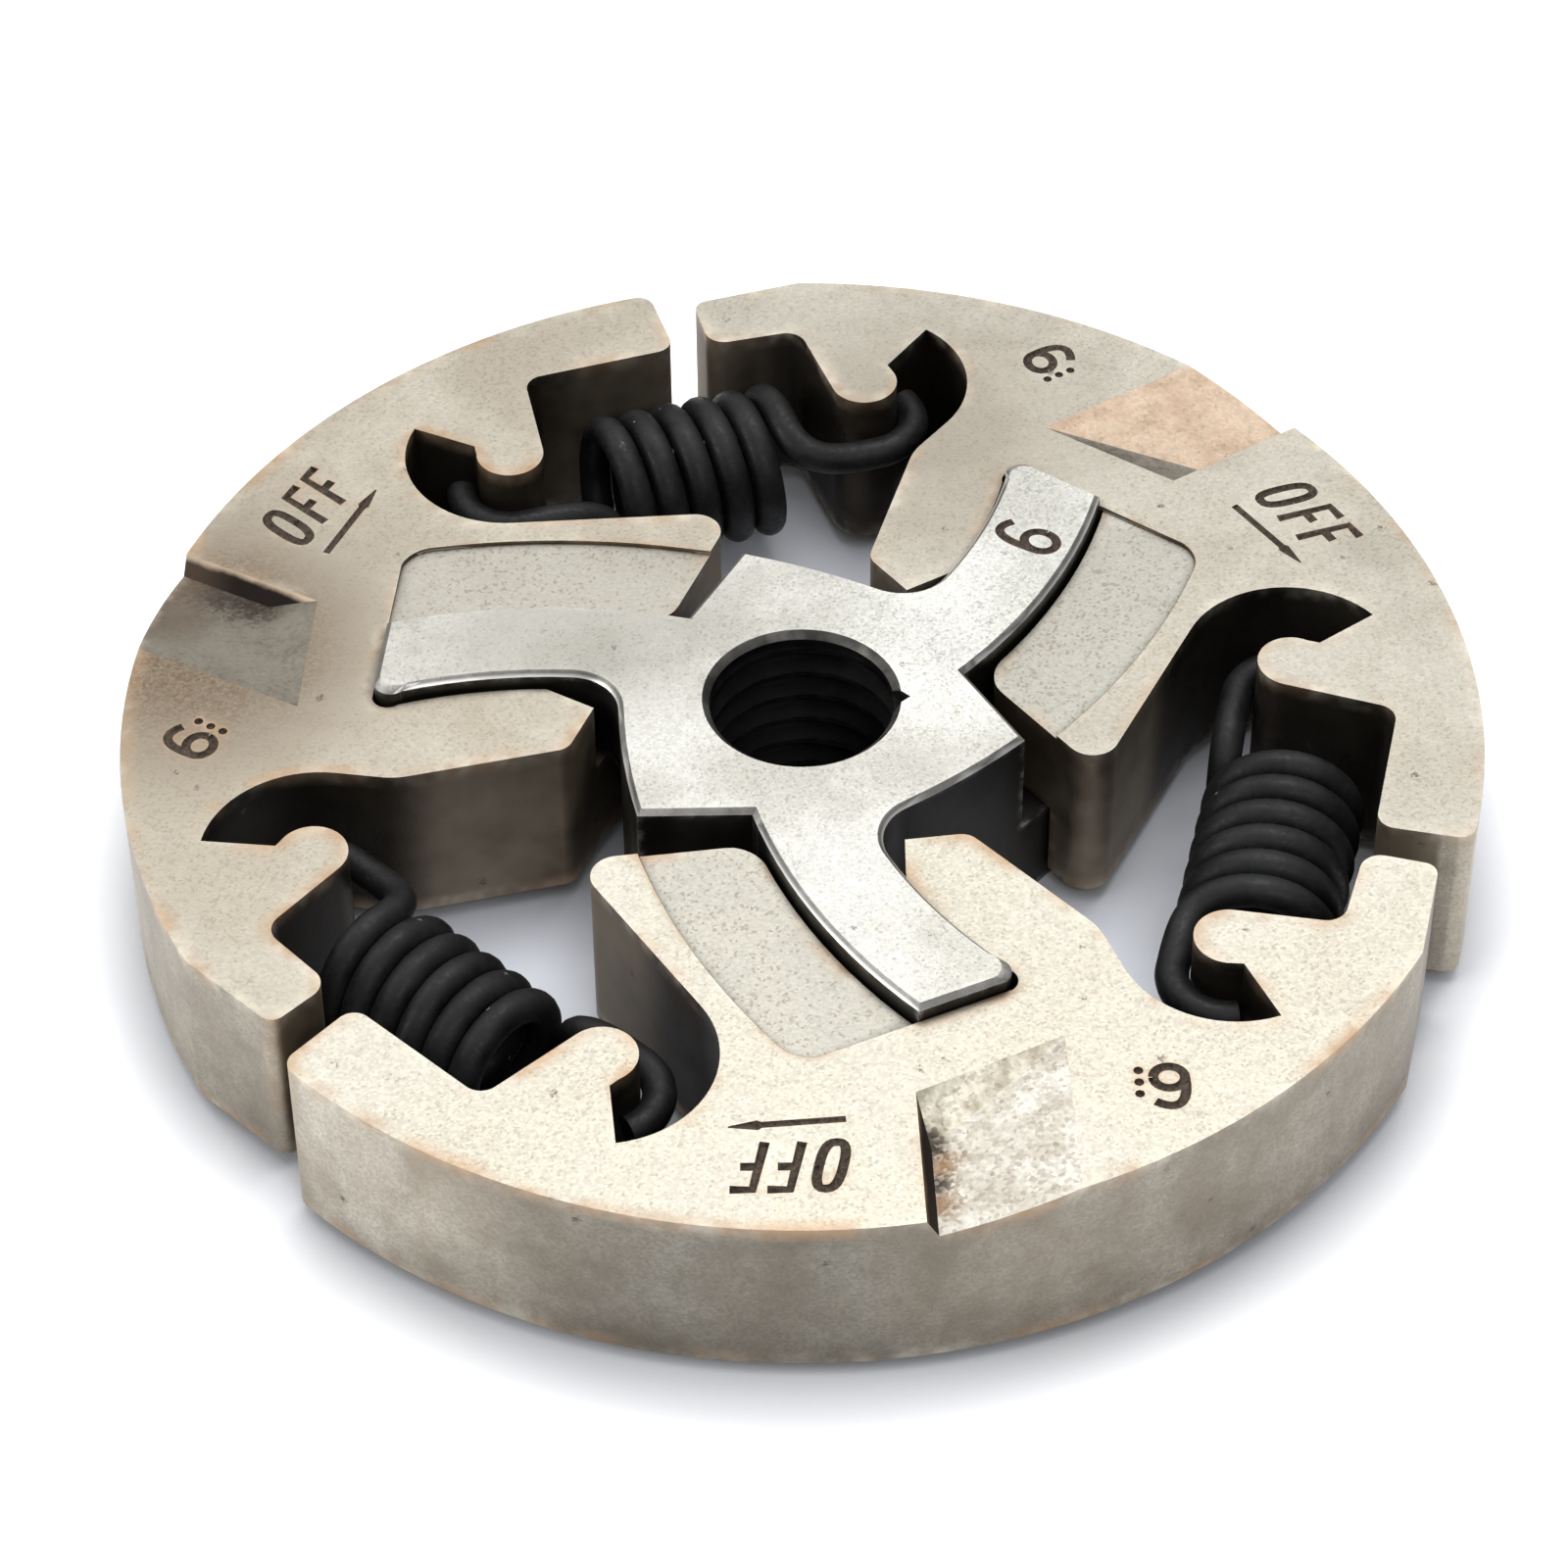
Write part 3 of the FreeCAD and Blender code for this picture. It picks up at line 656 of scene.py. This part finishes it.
# nearly black: dark finish with painted shade of the deep bore
thread_steel = two_tone("thread_steel", 0.0, 0.5, 0.08, "Patches",
                        [(0.003, 0.003, 0.0028), (0.009, 0.0085, 0.008)], 10 * micron,
                        grain=5000.0, cloud=400.0)
mouth_steel = two_tone("mouth_steel", 0.6, 0.45, 0.5, "Patches",
                       [(0.045, 0.043, 0.039), (0.13, 0.126, 0.115)], 10 * micron,
                       grain=5000.0, cloud=400.0)

# %% Spring wire
spring_wire, tree, shader = start_material("spring_wire", 0.0, 0.5, shine=0.28)
grain = place(tree, grain_group, grain=4200.0, cloud=300.0, pores=1300.0)
colour = blend_colour(tree, grain["Patches"], (0.005, 0.005, 0.0055), (0.014, 0.0145, 0.015))
colour = lay_over(tree, grain["Pores"], 0.4, colour, (0.5, 0.5, 0.48))
join(tree, colour, shader.inputs["Base Color"])
join(tree, span(tree, grain["Fine"], 0.0, 1.0, 0.44, 0.6), shader.inputs["Roughness"])
bump(tree, shader, grain["Fine"], 8 * micron)
print("finishes:", [m.name for m in bpy.data.materials])


# %% [markdown]
# ## Clean copies of the solids
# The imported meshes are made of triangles. Merging their points and dissolving flat neighbours
# gives back the true faces, and then a small bevel breaks each sharp outer edge, as tumbling does.
# Low steps, such as the shallow field, get a much smaller bevel so that it can't eat the step.


# %% Copy and soften
same_spot, flat_within = 1e-6, math.radians(0.4)
sharp_from, level_from = math.radians(28), 0.9


def true_faces(node):
    """The node's mesh as clean faces instead of triangles."""
    bm = bmesh.new()
    bm.from_mesh(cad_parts[node].data)
    bmesh.ops.remove_doubles(bm, verts=bm.verts, dist=same_spot)
    bmesh.ops.dissolve_limit(bm, angle_limit=flat_within, verts=bm.verts, edges=bm.edges)
    bm.normal_update()
    return bm


def height_of(face):
    levels = [v.co.z for v in face.verts]
    return max(levels) - min(levels)


def sharp_edges(bm, lowest, highest):
    """Outer edges beside a wall whose height lies in that range."""
    found = []
    for e in bm.edges:
        if len(e.link_faces) != 2 or not e.is_convex or e.calc_face_angle(0.0) < sharp_from:
            continue
        walls = [height_of(f) for f in e.link_faces if abs(f.normal.z) < level_from]
        if walls and lowest <= min(walls) < highest:
            found.append(e)
    return found


def break_edges(bm, edges, width):
    bmesh.ops.bevel(bm, geom=edges, offset=width, offset_type="OFFSET", segments=2, profile=0.5,
                    affect="EDGES", clamp_overlap=True)
    bm.normal_update()


def object_from(bm, name, materials):
    mesh = bpy.data.meshes.new(name)
    bm.to_mesh(mesh)
    bm.free()
    for m in materials:
        mesh.materials.append(m)
    made = bpy.data.objects.new(name, mesh)
    scene.collection.objects.link(made)
    return made


# %% Apply modifiers and smooth
def final_mesh(made):
    """The mesh of an object, or of a curve, as its modifiers leave it."""
    graph = bpy.context.evaluated_depsgraph_get()
    graph.update()
    return bpy.data.meshes.new_from_object(made.evaluated_get(graph))


def apply_all(made):
    """Turn an object's modifiers into plain mesh."""
    mesh = final_mesh(made)
    made.modifiers.clear()
    made.data = mesh


def smooth(made):
    """Smooth shading that keeps flat faces flat: large faces rule the normals at their rim."""
    made.data.shade_smooth()
    made.data.set_sharp_from_angle(angle=math.radians(35))
    weighted = made.modifiers.new("flat_faces", "WEIGHTED_NORMAL")
    weighted.keep_sharp = True
    weighted.weight = 100
    apply_all(made)


# %% [markdown]
# ## Stamped marks
# Each shoe says which way the clutch unscrews, with a word and an arrow, and carries a size figure
# and three dots. They are grooves, so each stroke is a thin curve with a round section, laid in the
# top face and taken away with a Boolean. The cut faces keep the cutter's own dark finish. A text
# object would be quicker, but its letters have no round grooves.


# %% Shapes of the strokes
def curve_shares(steps):
    """How much a curve's start, two handles and end count, at each step along it."""
    for i in range(steps + 1):
        f = i / steps
        yield (1 - f) ** 3, 3 * f * (1 - f) ** 2, 3 * f * f * (1 - f), f ** 3


def oval(cx, cy, rx, ry, power, steps=24):
    """A closed rounded-off rectangle, as a list of points."""
    points = []
    for i in range(steps + 1):
        a = 2 * math.pi * i / steps
        c, s = math.cos(a), math.sin(a)
        points.append((cx + rx * math.copysign(abs(c) ** (2 / power), c),
                       cy + ry * math.copysign(abs(s) ** (2 / power), s)))
    return points


def figure_six(cx, cy, w, h):
    """Loop below, and a stem that swings up and hooks over to the right."""
    pulls = ((-0.42, -0.2), (-0.50, 0.38), (-0.20, 0.62), (0.40, 0.36))
    stem = [(cx + w * sum(q * p[0] for q, p in zip(shares, pulls)),
             cy + h * sum(q * p[1] for q, p in zip(shares, pulls))) for shares in curve_shares(12)]
    return [oval(cx, cy - 0.22 * h, 0.42 * w, 0.26 * h, 2.0), stem]


def letter_f(x, y, w, h):
    bar = y + 0.52 * h
    return [[(x, y), (x, y + h), (x + w, y + h)], [(x, bar), (x + 0.8 * w, bar)]]


def even(strokes, weight):
    """Give each stroke one weight along its whole length."""
    return [(points, [weight] * len(points)) for points in strokes]


# %% Strokes of the marks
stroke, bold, slant = 0.21 * mm, 1.28, 0.2
word_middle, letter_foot, letter_width, letter_height = 33.2, 31.62, 1.15, 3.16
word = [oval(-1.22, word_middle, 0.62, 1.55, 2.8)]
for letter_left in (0.55, 2.45):
    word += letter_f(letter_left, letter_foot, letter_width, letter_height)
word = [[(u + slant * (v - word_middle), v) for u, v in points] for points in word]
arrow = [(-2.0, 30.1), (2.3, 30.46), (2.5, 30.48), (4.0, 30.6)]
arrow_weights = [1.0, 1.0, 1.6, 0.25]
size_figure = figure_six(-18.6, 28.05, 1.95, 2.85)
shoe_strokes = even(word + size_figure, bold) + [(arrow, arrow_weights)]
shoe_dots = [(-17.05, 26.95), (-17.05, 27.75), (-17.05, 28.55)]
print("strokes on a shoe:", len(shoe_strokes), "and dots:", len(shoe_dots))


# %% Cut strokes into a piece
def cutter_of(name, strokes, dots, to_world, radius):
    """A mesh of round strokes and dots, from points in the reader's own plane."""
    curve = bpy.data.curves.new(name, "CURVE")
    curve.dimensions = "3D"
    curve.bevel_depth = radius
    curve.bevel_resolution = 2
    curve.use_fill_caps = True
    lines = [([(u, v, 0.0) for u, v in points], weights) for points, weights in strokes]
    lines += [([(u, v, -0.2), (u, v, 0.2)], [bold, bold]) for u, v in dots]
    for points, weights in lines:
        line = curve.splines.new("POLY")
        line.points.add(len(points) - 1)
        for p, spot, weight in zip(line.points, points, weights):
            p.co = (*(to_world @ (Vector(spot) * mm)), 1)
            p.radius = weight
    holder = bpy.data.objects.new(name, curve)
    scene.collection.objects.link(holder)
    mesh = final_mesh(holder)
    bpy.data.objects.remove(holder)
    mesh.materials.clear()
    mesh.materials.append(mark_groove)
    cutter = bpy.data.objects.new(name, mesh)
    scene.collection.objects.link(cutter)
    return cutter


def cut(made, cutter):
    """Take the cutter away from a piece, then remove the cutter."""
    boolean = made.modifiers.new("cut", "BOOLEAN")
    boolean.operation = "DIFFERENCE"
    boolean.solver = "EXACT"
    boolean.use_self = True
    boolean.material_mode = "TRANSFER"
    boolean.object = cutter
    before = len(made.data.polygons)
    apply_all(made)
    bpy.data.objects.remove(cutter)
    print(made.name, "faces", before, "->", len(made.data.polygons))


# %% [markdown]
# ## The shoes
# A shoe is the clean copy with broken edges and the marks cut in. The faces of its tool step get
# skins of their own. They could be picked by hand in Edit Mode. Here a face belongs to the step if
# its centre lies in a slanted box of the plan, and its normal says whether it is floor, bank or
# wall, so that the same rule works on all three shoes.

# %% Find the tool step
ramp_corner = Vector((5.6, -28.3)) * mm
ramp_side = Vector((7.8, 3.84)) * mm
ramp_end = Vector((0.47, -11.7)) * mm
ramp_slack = 0.01
ramp_lowest, ramp_highest = shoe_top - 1.3 * mm, shoe_top - 0.1 * mm
wall_facing, bank_facing = 0.6, -0.2
ramp_area = ramp_side.cross(ramp_end)
print("plan of the tool step in square mm:", round(abs(ramp_area) / mm ** 2, 1))


def on_ramp(spot):
    """True if a spot of the first shoe lies within the tool step."""
    if not ramp_lowest < spot.z < ramp_highest:
        return False
    inside = spot.xy - ramp_corner
    shares = inside.cross(ramp_end) / ramp_area, ramp_side.cross(inside) / ramp_area
    return all(-ramp_slack < share < 1 + ramp_slack for share in shares)


def step_part(facing):
    """0 for a face of the step's floor, 1 for its bank, 2 for its wall."""
    return 2 if facing.x > wall_facing else 1 if facing.y < bank_facing else 0


# %% Make the three shoes
low_wall, any_wall = 0.8 * mm, 1.0
fine_break, edge_break = 0.05 * mm, 0.18 * mm
upside_down = Matrix.Rotation(math.pi, 4, "Z")
for k in range(3):
    node = f"shoe_{k + 1}"
    bm = true_faces(node)
    break_edges(bm, sharp_edges(bm, 0.0, low_wall), fine_break)
    break_edges(bm, sharp_edges(bm, low_wall, any_wall), edge_break)
    piece = object_from(bm, node + "_steel", [shoe_steels[k]])
    turn = Matrix.Rotation(third * k, 4, "Z")
    plane = turn @ Matrix.Translation((0, 0, shoe_top)) @ upside_down
    cut(piece, cutter_of("marks", shoe_strokes, shoe_dots, plane, stroke))
    first_slot = len(piece.data.materials)
    for skin in (ramp_skins[k], bank_skins[k], step_walls[k]):
        piece.data.materials.append(skin)
    back = turn.inverted()
    step_faces = [0, 0, 0]
    for face in piece.data.polygons:
        if on_ramp(back @ face.center):
            part = step_part(back.to_3x3() @ face.normal)
            face.material_index = first_slot + part
            step_faces[part] += 1
    smooth(piece)
    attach(piece, node)
    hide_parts(node)
    print(piece.name, "faces on the floor, bank and wall of its step:", step_faces)


# %% [markdown]
# ## The hub
# The bore is tapped with a coarse thread. A normal map would stay flat at the mouth, so it is cut.
# A tap is a rod whose radius follows a sawtooth along a helix, so a grid of points around the rod,
# closed by two end caps, makes the cutter, and a Boolean leaves the groove. The groove fades out at
# both mouths. A small notch at the upper mouth is where the thread runs out, and one arm carries a
# stamped figure.


# %% Shape the tap
def close_rings(bm, rings):
    """Faces between neighbouring rings of points, and a cap at each end."""
    for lower, upper in zip(rings, rings[1:]):
        for j in range(len(lower)):
            n = (j + 1) % len(lower)
            bm.faces.new((lower[j], lower[n], upper[n], upper[j]))
    bm.faces.new(list(reversed(rings[0])))
    bm.faces.new(rings[-1])


pitch, crest, root = 1.75 * mm, 5.02 * mm, 5.95 * mm
thread_start, tooth_steep, tooth_cut = 0.35, 1.25, 0.12
fade_reach, fade_late = 1.3 * mm, 0.25
around, per_pitch = 96, 14
bottom, top = hub_low.z - 1.0 * mm, hub_high.z + 1.0 * mm
count = int((top - bottom) / pitch * per_pitch)
bm = bmesh.new()
rings = []
for i in range(count + 1):
    z = bottom + (top - bottom) * i / count
    from_mouth = min(z - hub_low.z, hub_high.z - z)
    fade = min(1.0, max(0.0, from_mouth / fade_reach - fade_late))
    ring = []
    for j in range(around):
        a = 2 * math.pi * j / around
        phase = (z / pitch + a / (2 * math.pi) + thread_start) % 1.0
        tooth = min(1.0, max(0.0, tooth_steep * (1 - abs(2 * phase - 1)) - tooth_cut))
        r = crest + (root - crest) * tooth * fade
        ring.append(bm.verts.new((r * math.cos(a), r * math.sin(a), z)))
    rings.append(ring)
close_rings(bm, rings)
tap = object_from(bm, "tap", [thread_steel])
print("tap:", len(rings), "rings of", around, "points")

# %% Cut the thread
hub_break, bore_reach = 0.2 * mm, 5.6 * mm
flat_lean, wall_lean = 0.95, 0.3
bm = true_faces("hub")
break_edges(bm, sharp_edges(bm, 0.0, any_wall), hub_break)
hub = object_from(bm, "hub_steel_body", [hub_steel])
cut(hub, tap)
thread_slot = hub.data.materials.find("thread_steel")
mouth_slot = len(hub.data.materials)
hub.data.materials.append(mouth_steel)
for face in hub.data.polygons:
    lean = abs(face.normal.z)
    if face.center.xy.length < bore_reach and lean < flat_lean and face.material_index == 0:
        face.material_index = thread_slot if lean < wall_lean else mouth_slot

# %% Cut the notch and the arm's figure, and finish the hub
notch_plan = [(4.9, -0.95), (6.0, 0.0), (4.9, 0.95)]
notch_levels = (hub_high.z - 0.9 * mm, hub_high.z + 0.3 * mm)
bm = bmesh.new()
close_rings(bm, [[bm.verts.new((x * mm, y * mm, z)) for x, y in notch_plan] for z in notch_levels])
cut(hub, object_from(bm, "run_out", [thread_steel]))
arm_top = Matrix.Rotation(third, 4, "Z") @ Matrix.Translation((0, 0, hub_high.z))
figure_place = Matrix.Translation((4.85 * mm, -17.8 * mm, 0))
figure_turn = Matrix.Rotation(math.radians(-60), 4, "Z")
figure = even(figure_six(0, 0, 1.9, 3.7), bold)
cut(hub, cutter_of("figure", figure, [], arm_top @ figure_place @ figure_turn, stroke))
smooth(hub)
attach(hub, "hub")
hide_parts("hub")

# %% [markdown]
# ## The springs
# Each spring is one round wire: an open hook around a shoe's nose, a bend over the top into the
# coil, almost six turns, and a bend up the inner side into the other hook. The CAD wire has eight
# flat sides. Here the same centre line is followed by rings of sixteen points, close together, so
# that it looks drawn. A bevelled curve could follow that line too, but the rings give a plain mesh
# at once.

# %% Centre line of a spring
far_nose = Matrix.Rotation(third, 3, "Z") @ nose_a
along = (far_nose - nose_b).normalized()
outwards = Vector((along.y, -along.x, 0))
spring_span = (far_nose - nose_b).length
wire, gap, coil, offset, turns, knob = 1.85, 0.11, 3.6, 0.8, 5.75, 1.95
hook_lift, hook_sweep, hook_play, hook_lead = 2.1, 110, 0.02, 0.9
hook_run, coil_run = 2.6, 1.5
bend_steps, steps_per_turn = 24, 40
spring_pitch = wire + gap
coil_start = (spring_span - turns * spring_pitch) / 2
hook = knob + wire * 0.52 + hook_play
print("spring from nose to nose in mm:", round(spring_span, 2))


def on_coil(angle):
    a = math.radians(angle)
    advance = spring_pitch * (90 - angle) / 360
    return Vector((coil_start + advance, offset + coil * math.cos(a), coil * math.sin(a)))


def coil_heading(angle):
    a = math.radians(angle)
    return Vector((spring_pitch / (2 * math.pi * coil), math.sin(a), -math.cos(a)))


def bend(start, leave, arrive, stop):
    """A smooth way from start to stop, led by two handles."""
    shares = curve_shares(bend_steps)
    return [start * a + leave * b + arrive * c + stop * d for a, b, c, d in shares]


def spring_line():
    """Centre line in mm: along the spring, outwards, and up from mid height."""
    sweep = [math.radians(hook_sweep * i / bend_steps) for i in range(bend_steps + 1)]
    first, last = 105, 90 - 360 * turns
    leave_hook = Vector((hook_lead, -hook, hook_lift))
    reach_hook = Vector((spring_span - hook_lead, -hook, hook_lift))
    ahead = Vector((hook_run, 0, 0))
    into_coil = on_coil(first) - coil_heading(first) * hook_run
    out_of_coil = on_coil(last) + coil_heading(last) * coil_run
    line = [Vector((-hook * math.sin(a), -hook * math.cos(a), hook_lift)) for a in reversed(sweep)]
    line += bend(leave_hook, leave_hook + ahead, into_coil, on_coil(first))
    steps = int(turns * steps_per_turn)
    line += [on_coil(first + (last - first) * i / steps) for i in range(1, steps)]
    line += bend(on_coil(last), out_of_coil, reach_hook - ahead, reach_hook)
    far_hook = [(spring_span + hook * math.sin(a), -hook * math.cos(a)) for a in sweep]
    return line + [Vector((x, y, hook_lift)) for x, y in far_hook]


# %% Wire along a line
def wire_mesh(name, points, radius, sides=16):
    """Rings carried along the points without twist, closed by flat ends."""
    bm = bmesh.new()
    side = None
    rings = []
    for i, p in enumerate(points):
        ahead = (points[min(i + 1, len(points) - 1)] - points[max(i - 1, 0)]).normalized()
        side = ahead.orthogonal() if side is None else side - ahead * side.dot(ahead)
        side.normalize()
        lift = ahead.cross(side)
        rings.append([bm.verts.new(p + (side * math.cos(a) + lift * math.sin(a)) * radius)
                      for a in (2 * math.pi * j / sides for j in range(sides))])
    close_rings(bm, rings)
    return object_from(bm, name, [spring_wire])


# %% Make the three springs
to_middle = Vector((0, 0, middle))
for k in range(3):
    turn = Matrix.Rotation(third * k, 3, "Z")
    points = []
    for p in spring_line():
        on_first = nose_b + along * p.x + outwards * p.y + Vector((0, 0, p.z))
        points.append(turn @ on_first * mm + to_middle)
    spring = wire_mesh(f"spring_{k + 1}_wire", points, 0.5 * wire * mm)
    spring.data.shade_smooth()
    spring.data.set_sharp_from_angle(angle=math.radians(50))
    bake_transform(spring)
    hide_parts(f"spring_{k + 1}")
    print(spring.name, len(spring.data.polygons), "faces")
